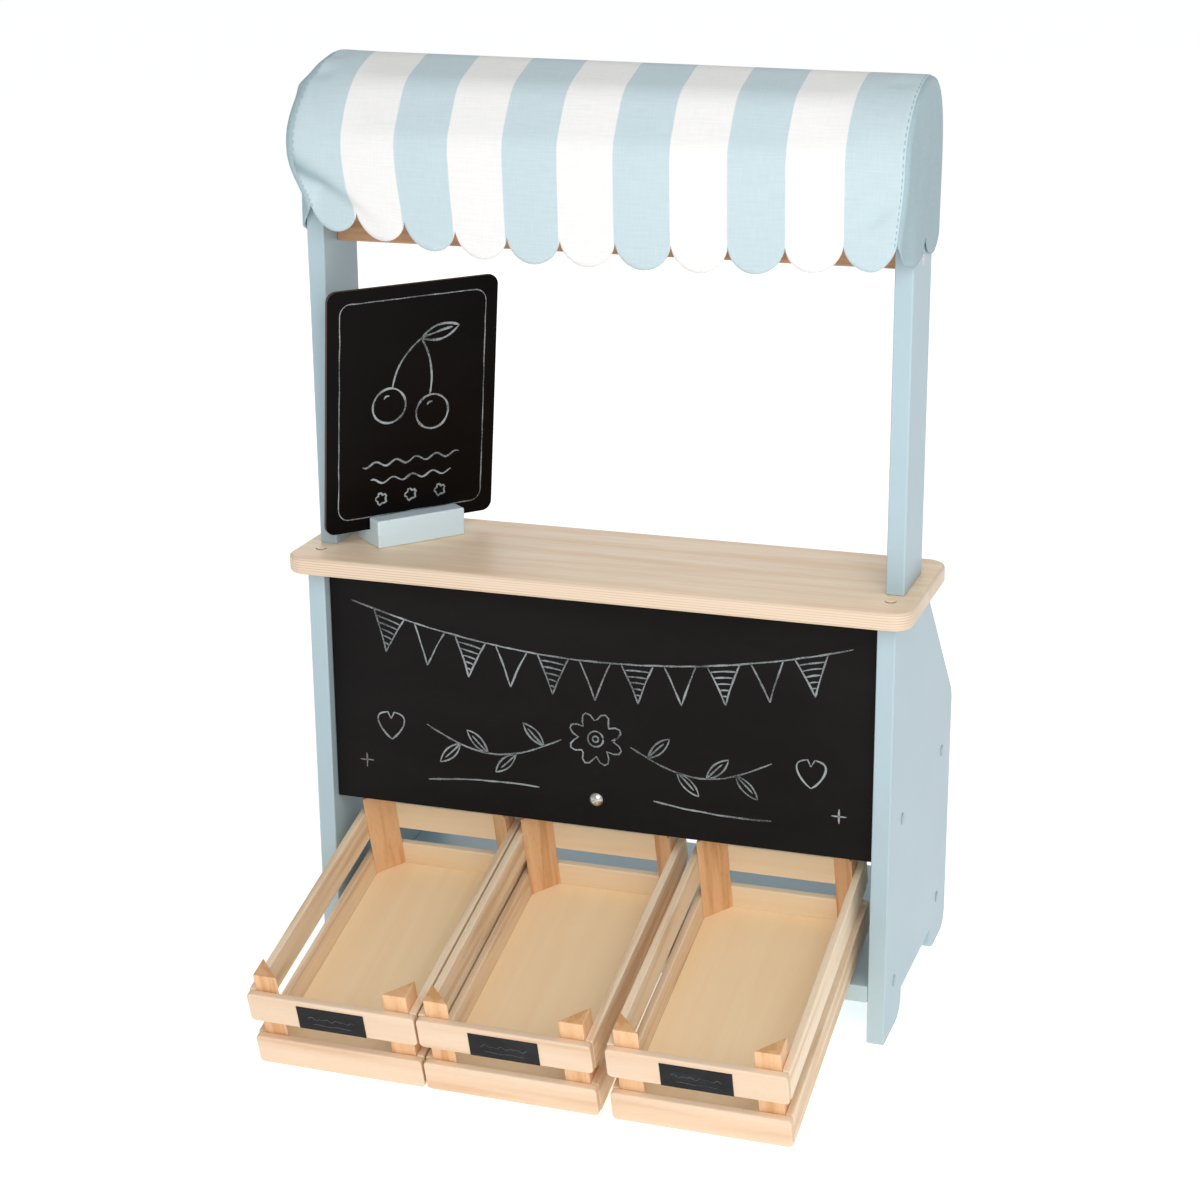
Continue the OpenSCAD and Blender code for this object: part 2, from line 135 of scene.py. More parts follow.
def speckled(name, deep, pale, grain_mm, detail, finish, relief=None, dull=None):
    """Two close tones in fine specks, which can also give a relief (strength, depth) and a roughness."""
    material, tree = surface(name)
    place = add(tree, "TexCoord").outputs["Object"]
    specks = add(tree, "TexNoise", {"Vector": place, "Scale": 1000 / grain_mm, "Detail": detail})
    tint = add(tree, "Mix", {0: specks, 6: linear(deep), 7: linear(pale)}, data_type="RGBA")
    inputs = {"Base Color": tint.outputs[2], **finish}
    if relief:
        bump = add(tree, "Bump", {"Height": specks, "Strength": relief[0], "Distance": relief[1]})
        inputs["Normal"] = bump
    if dull:
        rough = add(tree, "MapRange", {0: specks, 1: 0.3, 2: 0.7, 3: dull[0], 4: dull[1]})
        inputs["Roughness"] = rough
    shader = add(tree, "BsdfPrincipled", inputs)
    add(tree, "OutputMaterial", {"Surface": shader})
    return material


STALL_MIDDLE = Vector((0, 0, 0.3))


def soft_light(name, azimuth, elevation, distance, size, power, colour):
    """A large square lamp that faces the middle of the stall, with angles in degrees and power in watts."""
    data = bpy.data.lights.new(name, "AREA")
    data.shape = "SQUARE"
    data.size = size
    data.energy = power
    data.color = linear(colour)[:3]
    lamp = placed(name, data)
    out = towards(math.radians(azimuth), math.radians(elevation))
    lamp.location = STALL_MIDDLE + out * distance
    lamp.rotation_mode = "QUATERNION"
    lamp.rotation_quaternion = (-out).to_track_quat("-Z", "Y")


soft_light("front_softbox", 23, 30, 1.3, 0.9, 8.8, "#fffdfb")
soft_light("right_softbox", 70, 30, 2.6, 1.6, 2, "#ffffff")
soft_light("rear_softbox", 205, 22, 2.8, 1.6, 8, "#ffffff")
world = bpy.data.worlds.new("studio_room")
world.use_nodes = True
world.node_tree.nodes["Background"].inputs["Color"].default_value = linear("#fbfcfd")
world.node_tree.nodes["Background"].inputs["Strength"].default_value = 0.5
scene.world = world

# Seamless matt paper, lit evenly from behind as on a light table, so that it is
# white right to the horizon, with a barely visible mottle.
FLOOR_HALF = 30.0
FLOOR_DROP = 0.0004
paper = speckled("matt_white_paper", "#fafafa", "#fdfdfd", 40, 2.0,
                 {"Roughness": 0.9, "Specular IOR Level": 0.1, "Emission Color": linear("#ffffff"),
                  "Emission Strength": 0.53})
floor_mesh = bpy.data.meshes.new("floor")
corners = [(-1, -1), (1, -1), (1, 1), (-1, 1)]
floor_points = [(FLOOR_HALF * x, FLOOR_HALF * y, -FLOOR_DROP) for x, y in corners]
floor_mesh.from_pydata(floor_points, [], [(0, 1, 2, 3)])
floor_mesh.materials.append(paper)
floor = placed("floor", floor_mesh)

# Side panels, shelves and posts: 12 mm boards sawn to shape, their edges eased by
# sanding, then sprayed with light blue satin paint and screwed together.
BOARD_EASE = 0.0011


def sprayed_paint(name, deep, pale, edge):
    """Smooth satin paint with a faint orange peel, thin at the arrises, where wood shows in small rubs."""
    material, tree = surface(name)
    place = add(tree, "TexCoord").outputs["Object"]
    rim = add(tree, "Attribute", attribute_name="rim")
    cloud = add(tree, "TexNoise", {"Vector": place, "Scale": 1000 / 70, "Detail": 2.0})
    tone = add(tree, "Mix", {0: cloud, 6: linear(deep), 7: linear(pale)}, data_type="RGBA")
    rub = add(tree, "TexNoise", {"Vector": place, "Scale": 1000 / 9, "Detail": 4.0, "Roughness": 0.7})
    rubbed = add(tree, "MapRange", {0: rub, 1: 0.62, 2: 0.74, 3: 0.0, 4: 0.55})
    thin = add(tree, "Math", {0: rubbed, 1: rim.outputs["Fac"]}, operation="MULTIPLY")
    edge_tone = add(tree, "Math", {0: rim.outputs["Fac"], 1: 0.3}, operation="MULTIPLY")
    tone = add(tree, "Mix", {0: edge_tone, 6: tone.outputs[2], 7: linear(edge)}, data_type="RGBA")
    worn = add(tree, "Mix", {0: thin, 6: tone.outputs[2], 7: linear("#bfae91")}, data_type="RGBA")
    peel = add(tree, "TexNoise", {"Vector": place, "Scale": 1000 / 2.2, "Detail": 1.0})
    relief = add(tree, "Bump", {"Height": peel, "Strength": 0.12, "Distance": 0.0002})
    gloss = add(tree, "MapRange", {0: cloud, 1: 0.3, 2: 0.7, 3: 0.36, 4: 0.46})
    shader = add(tree, "BsdfPrincipled", {"Base Color": worn.outputs[2], "Roughness": gloss,
                                          "IOR": 1.46, "Normal": relief})
    add(tree, "OutputMaterial", {"Surface": shader})
    return material


# Sprayed satin acrylic paint: a smooth light blue, softly clouded.
blue_paint = sprayed_paint("satin_acrylic_paint_sprayed", "#a5bbc4", "#b0c5cd", "#bccfd7")


def whole_faces(node):
    """A CAD solid with the triangles of each flat face joined again."""
    solid = bmesh.new()
    solid.from_mesh(frame["nodes"][node].data)
    bmesh.ops.remove_doubles(solid, verts=solid.verts, dist=2e-6)
    bmesh.ops.dissolve_limit(solid, angle_limit=math.radians(0.3), verts=solid.verts, edges=solid.edges)
    return solid


def plain_board(node, axis):
    """A CAD board sawn again from its outline across an axis, without the bores in it."""
    solid = whole_faces(node)
    low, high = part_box(node)
    faces = {f for f in solid.faces if f.normal[axis] > 0.99
             and abs(f.calc_center_median()[axis] - high[axis]) < 1e-4}
    border = [e for e in solid.edges if len(faces.intersection(e.link_faces)) == 1]
    ways = {}
    for edge in border:
        for vert in edge.verts:
            ways.setdefault(vert, []).append(edge.other_vert(vert))
    loops = []
    unseen = set(ways)
    while unseen:
        at = min(unseen, key=lambda v: v.index)
        loop = []
        while at in unseen:
            unseen.discard(at)
            loop.append(at.co.copy())
            at = next((v for v in ways[at] if v in unseen), at)
        loops.append(loop)
    longest = max(loops, key=lambda pts: sum((a - b).length for a, b in zip(pts, pts[1:])))
    solid.free()
    board = bmesh.new()
    face = board.faces.new([board.verts.new(point) for point in longest])
    sawn = bmesh.ops.extrude_face_region(board, geom=[face])
    step = Vector((0, 0, 0))
    step[axis] = low[axis] - high[axis]
    moved = [v for v in sawn["geom"] if isinstance(v, bmesh.types.BMVert)]
    bmesh.ops.translate(board, verts=moved, vec=step)
    bmesh.ops.recalc_face_normals(board, faces=board.faces)
    return board


def islands(solid):
    """The separate solids of a mesh, as lists of its vertices."""
    solid.verts.ensure_lookup_table()
    unseen = set(solid.verts)
    found = []
    for first in solid.verts:
        if first not in unseen:
            continue
        unseen.discard(first)
        group = [first]
        for vert in group:
            for edge in vert.link_edges:
                other = edge.other_vert(vert)
                if other in unseen:
                    unseen.discard(other)
                    group.append(other)
        found.append(group)
    return found


def worked(name, solid, ease, body, materials, nodes, frame_turn=None, steps=3):
    """Rounds a solid's arrises, notes its grain, arrises and end grain, and puts it in place of nodes."""
    arrises = [e for e in solid.edges if e.is_manifold and e.calc_face_angle(0) > math.radians(35)]
    rounded = set()
    if ease:
        rounded = set(bmesh.ops.bevel(solid, geom=arrises, offset=ease, segments=steps, profile=0.5,
                                      affect="EDGES", clamp_overlap=False)["faces"])
    solid.verts.index_update()
    solid.faces.index_update()
    axes = (frame_turn or Matrix.Identity(3)).transposed()
    draw = random.Random(name)
    grain = [0.0] * (3 * len(solid.verts))
    along_of = {}
    for group in islands(solid):
        local = [axes @ v.co for v in group]
        spans = [max(p[i] for p in local) - min(p[i] for p in local) for i in range(3)]
        along = spans.index(max(spans))
        others = [i for i in range(3) if i != along]
        shift = [draw.uniform(0, 5) for i in range(3)]
        for vert, point in zip(group, local):
            ordered = (point[along], point[others[0]], point[others[1]])
            grain[3 * vert.index:3 * vert.index + 3] = [c + s for c, s in zip(ordered, shift)]
            along_of[vert] = along
    mesh = bpy.data.meshes.new(name)
    solid.to_mesh(mesh)
    if "custom_normal" in mesh.attributes:
        mesh.attributes.remove(mesh.attributes["custom_normal"])
    mesh.attributes.new("grain", "FLOAT_VECTOR", "POINT").data.foreach_set("vector", grain)
    rims = [1.0 if f in rounded else 0.0 for f in solid.faces]
    mesh.attributes.new("rim", "FLOAT", "FACE").data.foreach_set("value", rims)
    ends = [abs((axes @ f.normal)[along_of[f.verts[0]]]) ** 4 for f in solid.faces]
    mesh.attributes.new("end_grain", "FLOAT", "FACE").data.foreach_set("value", ends)
    solid.free()
    mesh.materials.clear()
    for material in materials:
        mesh.materials.append(material)
    mesh.polygons.foreach_set("material_index", [0] * len(mesh.polygons))
    mesh.shade_smooth()
    piece = placed(name, mesh)
    piece.modifiers.new("flat_faces", "WEIGHTED_NORMAL").keep_sharp = True
    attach(piece, body)
    if nodes:
        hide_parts(*nodes)
    return piece


BOARDS = {"side_panel_left": 0, "side_panel_right": 0, "bottom_shelf": 2, "middle_shelf": 2,
          "post_left": 0, "post_right": 0}
for node, thin_axis in BOARDS.items():
    worked("painted_" + node, plain_board(node, thin_axis), BOARD_EASE, "stall",
           [blue_paint], [node])

# Shelf screws: pressed cover caps of light blue plastic hide their heads on the
# panels. The shanks stay inside the boards.
CAP_R = 0.004
CAP_RISE = 0.0009
CAP_SINK = 0.001
DISC_SIDES = 32

# Injection-moulded polythene: an even tint with a soft moulded sheen.
cap_plastic = speckled("polythene_moulded", "#98aeb9", "#a3b8c2", 3, 2.0, {"Roughness": 0.42, "IOR": 1.51},
                       relief=(0.08, 0.0001))


def turned_ring(solid, middle, turn, radius, height, count):
    """A ring of vertices at a height over a middle, turned out of the level."""
    ring_verts = []
    for i in range(count):
        angle = 2 * math.pi * i / count
        flat = Vector((radius * math.cos(angle), radius * math.sin(angle), height))
        ring_verts.append(solid.verts.new(middle + turn @ flat))
    return ring_verts


def joined_rings(solid, rings):
    """The wall between rings of vertices."""
    for lower, upper in zip(rings, rings[1:]):
        for i in range(len(lower)):
            after = (i + 1) % len(lower)
            solid.faces.new((lower[i], lower[after], upper[after], upper[i]))


def low_domes(name, places, radius, rise, sink, body, material, nodes):
    """Low domed discs that sit in a face at places, each given by its centre and the face's direction."""
    discs = bmesh.new()
    profile = [(1.0, -sink), (1.0, 0.35 * rise), (0.93, 0.7 * rise), (0.75, 0.9 * rise), (0.4, rise)]
    for centre, direction in places:
        facing = Vector((0, 0, 1)).rotation_difference(direction)
        rings = [turned_ring(discs, centre, facing, share * radius, height, DISC_SIDES)
                 for share, height in profile]
        joined_rings(discs, rings)
        discs.faces.new(rings[-1])
        discs.faces.new(rings[0][::-1])
    return worked(name, discs, 0, body, [material], nodes)


def node_islands(node):
    """Lowest and highest corners of each separate solid of a CAD node."""
    solid = whole_faces(node)
    boxes = []
    for group in islands(solid):
        boxes.append((Vector(map(min, *[v.co for v in group])), Vector(map(max, *[v.co for v in group]))))
    solid.free()
    return boxes


def outer_face_centres(node):
    """Centre of the outer end of each screw that goes in from a side, with the side's direction."""
    places = []
    for low, high in node_islands(node):
        side = 1 if low.x + high.x > 0 else -1
        middle = (low + high) / 2
        places.append((Vector((high.x if side > 0 else low.x, middle.y, middle.z)), Vector((side, 0, 0))))
    return places


low_domes("shelf_screw_caps", outer_face_centres("shelf_screws"), CAP_R, CAP_RISE, CAP_SINK, "stall",
          cap_plastic, ["shelf_screws"])

# Counter: a board of birch plywood with rounded corners and edges, clear lacquered.
# It is screwed down into the panels, and wooden plugs hide the screws.
COUNTER_EASE = 0.0022
PLY_COUNT = 7
counter_low, counter_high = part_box("counter_top")

# Lacquered birch plywood: a pale rotary-cut face with long faint streaks, and an
# edge where thin brown glue lines between the plies come and go.
counter_ply, tree = surface("birch_plywood_lacquered")
place = add(tree, "TexCoord").outputs["Object"]
long_way = add(tree, "Mapping", {"Vector": place, "Scale": (0.06, 1.0, 1.0)})
streaks = add(tree, "TexNoise", {"Vector": long_way, "Scale": 1000 / 16, "Detail": 4.0,
                                 "Roughness": 0.6, "Distortion": 0.5})
fibres = add(tree, "TexNoise", {"Vector": long_way, "Scale": 1000 / 1.6, "Detail": 2.0})
figure = add(tree, "MapRange", {0: streaks, 1: 0.32, 2: 0.7, 3: 0.0, 4: 1.0})
face = add(tree, "Mix", {0: figure, 6: linear("#fdebd0"), 7: linear("#f1d2b0")}, data_type="RGBA")
fine = add(tree, "MapRange", {0: fibres, 1: 0.35, 2: 0.75, 3: 0.0, 4: 0.22})
face = add(tree, "Mix", {0: fine, 6: face.outputs[2], 7: linear("#deb892")}, data_type="RGBA")
split = add(tree, "SeparateXYZ", {0: place})
wander = add(tree, "MapRange", {0: streaks, 1: 0.2, 2: 0.8, 3: -0.0003, 4: 0.0003})
height = add(tree, "Math", {0: split.outputs["Z"], 1: wander}, operation="ADD")
plies = add(tree, "MapRange", {0: height, 1: counter_low.z, 2: counter_high.z, 3: 0.0,
                               4: float(PLY_COUNT)}, clamp=False)
border = add(tree, "Math", {0: plies, 1: 0.5}, operation="PINGPONG")
glue = add(tree, "MapRange", {0: border, 1: 0.05, 2: 0.2, 3: 1.0, 4: 0.0},
           interpolation_type="SMOOTHSTEP")
fading = add(tree, "MapRange", {0: streaks, 1: 0.35, 2: 0.65, 3: 0.25, 4: 0.85})
lines = add(tree, "Math", {0: glue, 1: fading}, operation="MULTIPLY")
inner = add(tree, "MapRange", {0: split.outputs["Z"], 1: counter_high.z - 0.0001, 2: counter_high.z - 0.0004,
                               3: 0.0, 4: 1.0})
edge = add(tree, "Mix", {0: lines, 6: linear("#e1cdb6"), 7: linear("#bf9975")}, data_type="RGBA")
colour = add(tree, "Mix", {0: inner, 6: face.outputs[2], 7: edge.outputs[2]}, data_type="RGBA")
relief = add(tree, "Bump", {"Height": fibres, "Strength": 0.1, "Distance": 0.0002})
gloss = add(tree, "MapRange", {0: streaks, 1: 0.3, 2: 0.7, 3: 0.36, 4: 0.48})
shader = add(tree, "BsdfPrincipled", {"Base Color": colour.outputs[2], "Roughness": gloss,
                                      "Specular IOR Level": 0.25, "Normal": relief})
add(tree, "OutputMaterial", {"Surface": shader})

worked("plywood_counter", plain_board("counter_top", 2), COUNTER_EASE, "stall",
       [counter_ply], ["counter_top"], steps=4)


def lacquered_wood(name, pale, dark, figure_mm, line_count, fleck, roughness):
    """Planed solid wood under clear matt lacquer, with growth lines that run along the grain."""
    material, tree = surface(name)
    grain = add(tree, "Attribute", attribute_name="grain")
    ends = add(tree, "Attribute", attribute_name="end_grain")
    rim = add(tree, "Attribute", attribute_name="rim")
    long_way = add(tree, "Mapping", {"Vector": grain.outputs["Vector"], "Scale": (0.06, 1.0, 1.0)})
    broad = add(tree, "TexNoise", {"Vector": long_way, "Scale": 1000 / figure_mm, "Detail": 2.0,
                                   "Distortion": 0.3})
    lines = add(tree, "Math", {0: broad, 1: float(line_count)}, operation="MULTIPLY")
    lines = add(tree, "Math", {0: lines, 1: 1.0}, operation="PINGPONG")
    lines = add(tree, "MapRange", {0: lines, 1: 0.45, 2: 1.0, 3: 0.0, 4: 0.45})
    clouds = add(tree, "MapRange", {0: broad, 1: 0.3, 2: 0.7, 3: 0.0, 4: 0.5})
    figure = add(tree, "Math", {0: lines, 1: clouds}, operation="ADD")
    short = add(tree, "Mapping", {"Vector": grain.outputs["Vector"], "Scale": (0.22, 1.0, 1.0)})
    flecks = add(tree, "TexNoise", {"Vector": short, "Scale": 1000 / 1.3, "Detail": 1.0})
    flecks = add(tree, "MapRange", {0: flecks, 1: 0.56, 2: 0.7, 3: 0.0, 4: fleck})
    figure = add(tree, "Math", {0: figure, 1: flecks}, operation="ADD")
    figure = add(tree, "Math", {0: ends.outputs["Fac"], 1: 0.4, 2: figure}, operation="MULTIPLY_ADD")
    figure = add(tree, "Math", {0: rim.outputs["Fac"], 1: -0.15, 2: figure}, operation="MULTIPLY_ADD",
                 use_clamp=True)
    colour = add(tree, "Mix", {0: figure, 6: linear(pale), 7: linear(dark)}, data_type="RGBA")
    fibres = add(tree, "TexNoise", {"Vector": long_way, "Scale": 1000 / 1.2, "Detail": 2.0})
    relief = add(tree, "Bump", {"Height": fibres, "Strength": 0.14, "Distance": 0.0002})
    sheen = add(tree, "MapRange", {0: fibres, 1: 0.3, 2: 0.7, 3: roughness - 0.05, 4: roughness + 0.06})
    shader = add(tree, "BsdfPrincipled", {"Base Color": colour.outputs[2], "Roughness": sheen,
                                          "IOR": 1.5, "Normal": relief})
    add(tree, "OutputMaterial", {"Surface": shader})
    return material


# Lacquered beech: warm tan, with fine growth lines and many short darker flecks.
beech = lacquered_wood("beech_planed_lacquered", "#cda078", "#ab7950", 9, 5, 0.2, 0.45)

# The plugs are beech cut across the grain: their faces very pale, partly the wood's colour and partly
# painted highlight, and their steep rims dark brown, a painted shadow round each plug.
PLUG_R = 0.0035
PLUG_RISE = 0.0008
PLUG_SINK = 0.001
plug_places = []
for low, high in node_islands("counter_plugs"):
    middle = (low + high) / 2
    plug_places.append((Vector((middle.x, middle.y, high.z)), Vector((0, 0, 1))))
plug_beech_and_highlight = lacquered_wood("beech_cross_cut_lacquered", "#ffe6cc", "#f3cfa8", 5, 4, 0.2, 0.45)
plug_faces = low_domes("counter_plug_faces", plug_places, PLUG_R, PLUG_RISE, PLUG_SINK, "stall",
                       plug_beech_and_highlight, ["counter_plugs"])
# Painted shadow: a dark brown copy of the beech for the plugs' steep rims.
plug_rim_painted_shadow = lacquered_wood("beech_scorched_lacquered", "#a87f58", "#83603f", 5, 4, 0.2, 0.5)
plug_faces.data.materials.append(plug_rim_painted_shadow)
# The steep rim faces take the painted shadow.
for polygon in plug_faces.data.polygons:
    if polygon.normal.z < 0.9:
        polygon.material_index = 1

# Zinc-plated steel screws: turned blanks with a bright grey plating, slightly
# brushed. Those inside the boards keep their CAD shape.
HEAD_R = 0.004
HEAD_RISE = 0.0002
HEAD_SINK = 0.002
zinc = speckled("steel_zinc_plated", "#b9b7b2", "#d8d6d0", 1.1, 3.0, {"Metallic": 1.0}, dull=(0.24, 0.42))


def keep_solid(node, material):
    """Gives a CAD solid that stays as it is a finish."""
    mesh = frame["nodes"][node].data
    mesh.materials.clear()
    mesh.materials.append(material)


keep_solid("counter_screws", zinc)
keep_solid("chalkboard_screw", zinc)
keep_solid("post_dowels", beech)
for screws in ("rail_screws", "roof_end_screws"):
    low_domes(screws + "_heads", outer_face_centres(screws), HEAD_R, HEAD_RISE, HEAD_SINK, "stall",
              zinc, [screws])

# Front chalkboard: a thin board between the panels, painted matt black and held by
# one pan-head screw. Chalk drawings on it are thin strokes that stand just proud.
CHALK_LIFT = 0.00008
CHALK_T = 0.0001
THIN_EASE = 0.0004


def chalk_black(name, pale, dark, haze_mm, roughness, gloss):
    """Matt black board paint, wiped with a cloth so that faint grey smears of chalk stay on it."""
    material, tree = surface(name)
    place = add(tree, "TexCoord").outputs["Object"]
    wiped = add(tree, "Mapping", {"Vector": place, "Scale": (0.35, 0.35, 1.0)})
    smear = add(tree, "TexNoise", {"Vector": wiped, "Scale": 1000 / haze_mm, "Detail": 4.0,
                                   "Roughness": 0.6, "Distortion": 0.6})
    haze = add(tree, "MapRange", {0: smear, 1: 0.42, 2: 0.75, 3: 0.0, 4: 1.0})
    colour = add(tree, "Mix", {0: haze, 6: linear(dark), 7: linear(pale)}, data_type="RGBA")
    tooth = add(tree, "TexNoise", {"Vector": place, "Scale": 1000 / 1.2, "Detail": 2.0})
    relief = add(tree, "Bump", {"Height": tooth, "Strength": 0.15, "Distance": 0.0002})
    dull = add(tree, "MapRange", {0: smear, 1: 0.3, 2: 0.7, 3: roughness, 4: roughness + 0.1})
    shader = add(tree, "BsdfPrincipled", {"Base Color": colour.outputs[2], "Roughness": dull,
                                          "Specular IOR Level": gloss, "Normal": relief})
    add(tree, "OutputMaterial", {"Surface": shader})
    return material


board_black = chalk_black("chalkboard_paint_rolled", "#191818", "#110f0f", 45, 0.62, 0.12)
worked("black_front_board", plain_board("front_chalkboard", 1), THIN_EASE, "stall",
       [board_black], ["front_chalkboard"], steps=2)


def dry_chalk(name, bright):
    """Broken chalk line: the stick touches only the tooth of the paint and is pressed unevenly."""
    material, tree = surface(name)
    place = add(tree, "TexCoord").outputs["Object"]
    tooth = add(tree, "TexNoise", {"Vector": place, "Scale": 1000 / 1.0, "Detail": 2.0})
    pressed = add(tree, "TexNoise", {"Vector": place, "Scale": 1000 / 22, "Detail": 1.0})
    cover = add(tree, "Math", {0: tooth, 1: pressed}, operation="ADD")
    cover = add(tree, "MapRange", {0: cover, 1: 0.72, 2: 1.18, 3: 0.1, 4: 1.0})
    tint = add(tree, "Mix", {0: cover, 6: linear("#2a2828"), 7: linear(bright)}, data_type="RGBA")
    shader = add(tree, "BsdfPrincipled", {"Base Color": tint.outputs[2], "Roughness": 0.95,
                                          "Specular IOR Level": 0.2})
    add(tree, "OutputMaterial", {"Surface": shader})
    return material


# Dry chalk: a broken grey line, fainter on the labels, where it has been rubbed.
# The grain is drawn at about 1 mm, coarser than real, so that it shows.
chalk = dry_chalk("chalk_dry_drawn", "#9ca3a6")
rubbed_chalk = dry_chalk("chalk_dry_rubbed", "#565b60")


def stroke(drawing, points, width, place, seed):
    """One chalk line through points in millimetres, with a slightly unsteady hand."""
    left_side = []
    right_side = []
    last = len(points) - 1
    for i, (u, v) in enumerate(points):
        before = points[max(i - 1, 0)]
        after = points[min(i + 1, last)]
        way = Vector((after[0] - before[0], after[1] - before[1])).normalized()
        shake = 0.35 * noise.noise(Vector((0.09 * u, 0.09 * v, seed)))
        half = 0.5 * width * (0.8 + 0.5 * noise.noise(Vector((0.2 * u, 0.2 * v, seed + 7.7))))
        if i in (0, last):
            half *= 0.45
        left_side.append(drawing.verts.new(place(u - way.y * (half + shake), v + way.x * (half + shake))))
        right_side.append(drawing.verts.new(place(u + way.y * (half - shake), v - way.x * (half - shake))))
    for i in range(last):
        drawing.faces.new((right_side[i], right_side[i + 1], left_side[i + 1], left_side[i]))


def line(a, b, sag=0.0):
    """Points from a to b, bowed sideways by sag."""
    start = Vector(a)
    way = Vector(b) - start
    across = Vector((-way.y, way.x)).normalized()
    count = max(3, int(way.length / 2.5))
    return [tuple(start + way * (i / count) + across * (4 * sag * i * (count - i) / count ** 2))
            for i in range(count + 1)]


def ring(u, v, radius, petals=0, depth=0.0, overlap=0.25):
    """A hand-drawn ring that overlaps its start, with petals where asked."""
    count = max(16, int(radius * 4))
    points = []
    for i in range(count + 1):
        angle = (2 * math.pi + overlap) * i / count
        reach = radius + depth * abs(math.sin(petals * angle / 2)) if petals else radius
        points.append((u + reach * math.cos(angle), v + reach * math.sin(angle)))
    return points


def leaf(root, tip, belly):
    """Both edges and the midrib of a leaf."""
    return [line(root, tip, belly), line(root, tip, -belly), line(root, tip, 0.1 * belly)[:-2]]


def drawn(name, strokes, width, place, body, material):
    """All the chalk strokes of one board as one thin piece."""
    drawing = bmesh.new()
    for i, points in enumerate(strokes):
        stroke(drawing, points, width, place, 3.1 * i)
    mesh = bpy.data.meshes.new(name)
    drawing.to_mesh(mesh)
    drawing.free()
    mesh.materials.append(material)
    piece = placed(name, mesh)
    body_of_line = piece.modifiers.new("body_of_chalk", "SOLIDIFY")
    body_of_line.thickness = CHALK_T
    body_of_line.offset = -1.0
    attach(piece, body)
    return piece


# A string of pennants over a flower between two sprigs, with hearts at the sides, in
# millimetres from the middle of the board and its lower edge.
FRONT_LINE = 1.35
STRING_HALF = 172
STRING_TOP = 143
STRING_SAG = 26
PENNANT_STEP = 29
PENNANT_HALF = 11
PENNANT_L = 27
board_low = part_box("front_chalkboard")[0]


def string_at(u):
    """Height of the sagging string over the board's lower edge."""
    return STRING_TOP - STRING_SAG * (1 - (u / STRING_HALF) ** 2)


front_strokes = [[(u, string_at(u)) for u in range(-STRING_HALF, STRING_HALF + 1, 4)]]
for i in range(11):
    u = PENNANT_STEP * (i - 5)
    top_left = (u - PENNANT_HALF, string_at(u - PENNANT_HALF))
    top_right = (u + PENNANT_HALF, string_at(u + PENNANT_HALF))
    tip = (u + 0.02 * u, string_at(u) - PENNANT_L)
    front_strokes += [line(top_left, tip, 0.5), line(tip, top_right, 0.5)]
    if i % 2 == 0:
        for k in range(1, 6):
            share = k / 6.5
            a = [top_left[j] + (tip[j] - top_left[j]) * share for j in range(2)]
            b = [top_right[j] + (tip[j] - top_right[j]) * share for j in range(2)]
            front_strokes.append(line((a[0] + 1, a[1]), (b[0] - 1, b[1] - 0.8), 0.3))
front_strokes += [ring(0, 63, 11, 8, 8), ring(0, 63, 5.5), ring(0, 63, 2.2)]
for side in (-1, 1):
    stem = [(side * (24 + 96 * t / 24), 60 - 16 * math.sin(math.pi * t / 24)) for t in range(25)]
    front_strokes.append(stem)
    for k in (3, 8, 13, 18):
        root = stem[k]
        lift = 1 if k % 2 else -1
        front_strokes += leaf(root, (root[0] + side * 15, root[1] + lift * 15), 3.4)
    heart_u = side * 146
    for lobe in (-1, 1):
        bend = []
        for k in range(17):
            t = k / 16
            wide = 11 * math.sin(math.pi * t) ** 0.8 * (1 - 0.25 * t)
            high = 46 + 20 * t + 5 * math.sin(math.pi * t) - (5 if k == 16 else 0)
            bend.append((heart_u + lobe * wide, high))
        front_strokes.append(bend)
    front_strokes += [line((side * 165, 34), (side * 165, 24)), line((side * 160, 29), (side * 170, 29))]
    front_strokes.append(line((side * 40, 24), (side * 120, 20), -2.0))


def on_front_board(u, v):
    """A point of the front board in the frame, from millimetres across and up from its lower edge."""
    return Vector((u / 1000, board_low.y - CHALK_LIFT, board_low.z + v / 1000))


drawn("front_board_chalk", front_strokes, FRONT_LINE, on_front_board, "stall", chalk)

# Cross rail and roof frame: natural beech under the cloth, a rail between the posts,
# two arched ends screwed inside the posts and five round bars glued into the ends.
RAIL_EASE = 0.001
ARCH_EASE = 0.0012
worked("beech_cross_rail", plain_board("cross_rail", 1), RAIL_EASE, "stall", [beech],
       ["cross_rail"])
for node in ("roof_end_left", "roof_end_right"):
    worked("beech_" + node, plain_board(node, 0), ARCH_EASE, "stall", [beech], [node])
ROOF_BARS = ["roof_bar_front_low", "roof_bar_front", "roof_bar_top", "roof_bar_rear", "roof_bar_rear_low"]
for node in ROOF_BARS:
    worked("beech_" + node, whole_faces(node), THIN_EASE, "stall", [beech], [node], steps=2)

# Awning: cotton cut with scalloped hems and sewn to two end panels, pulled over the
# roof frame. It is slack at the left, where its lower corner is tucked in.
end_low, end_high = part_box("roof_end_right")
panel_low, panel_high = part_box("awning_end_right")
ROOF_R = (end_high.y - end_low.y) / 2
ROOF_Y = (end_high.y + end_low.y) / 2
ROOF_Z = end_high.z - ROOF_R
CLOTH_R = ROOF_R + 0.001
CLOTH_T = 0.0009
OVER = math.pi * CLOTH_R
END_X = (panel_low.x + panel_high.x) / 2
HEM_LOW = panel_low.z
POST_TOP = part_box("post_right")[1].z
SCALLOP_H = 0.017
SCALLOPS = 11
BAR_STEP = math.radians(42)
BEND_R = 0.022
SLACK = 0.0058
LEFT, RIGHT = -1, 1
TURN_R = {LEFT: 0.0085, RIGHT: 0.0035}
SEAM_RUN = {LEFT: 0.002, RIGHT: 0.001}


def smooth(t):
    """Eases from 0 to 1."""
    t = min(1.0, max(0.0, t))
    return t * t * (3 - 2 * t)


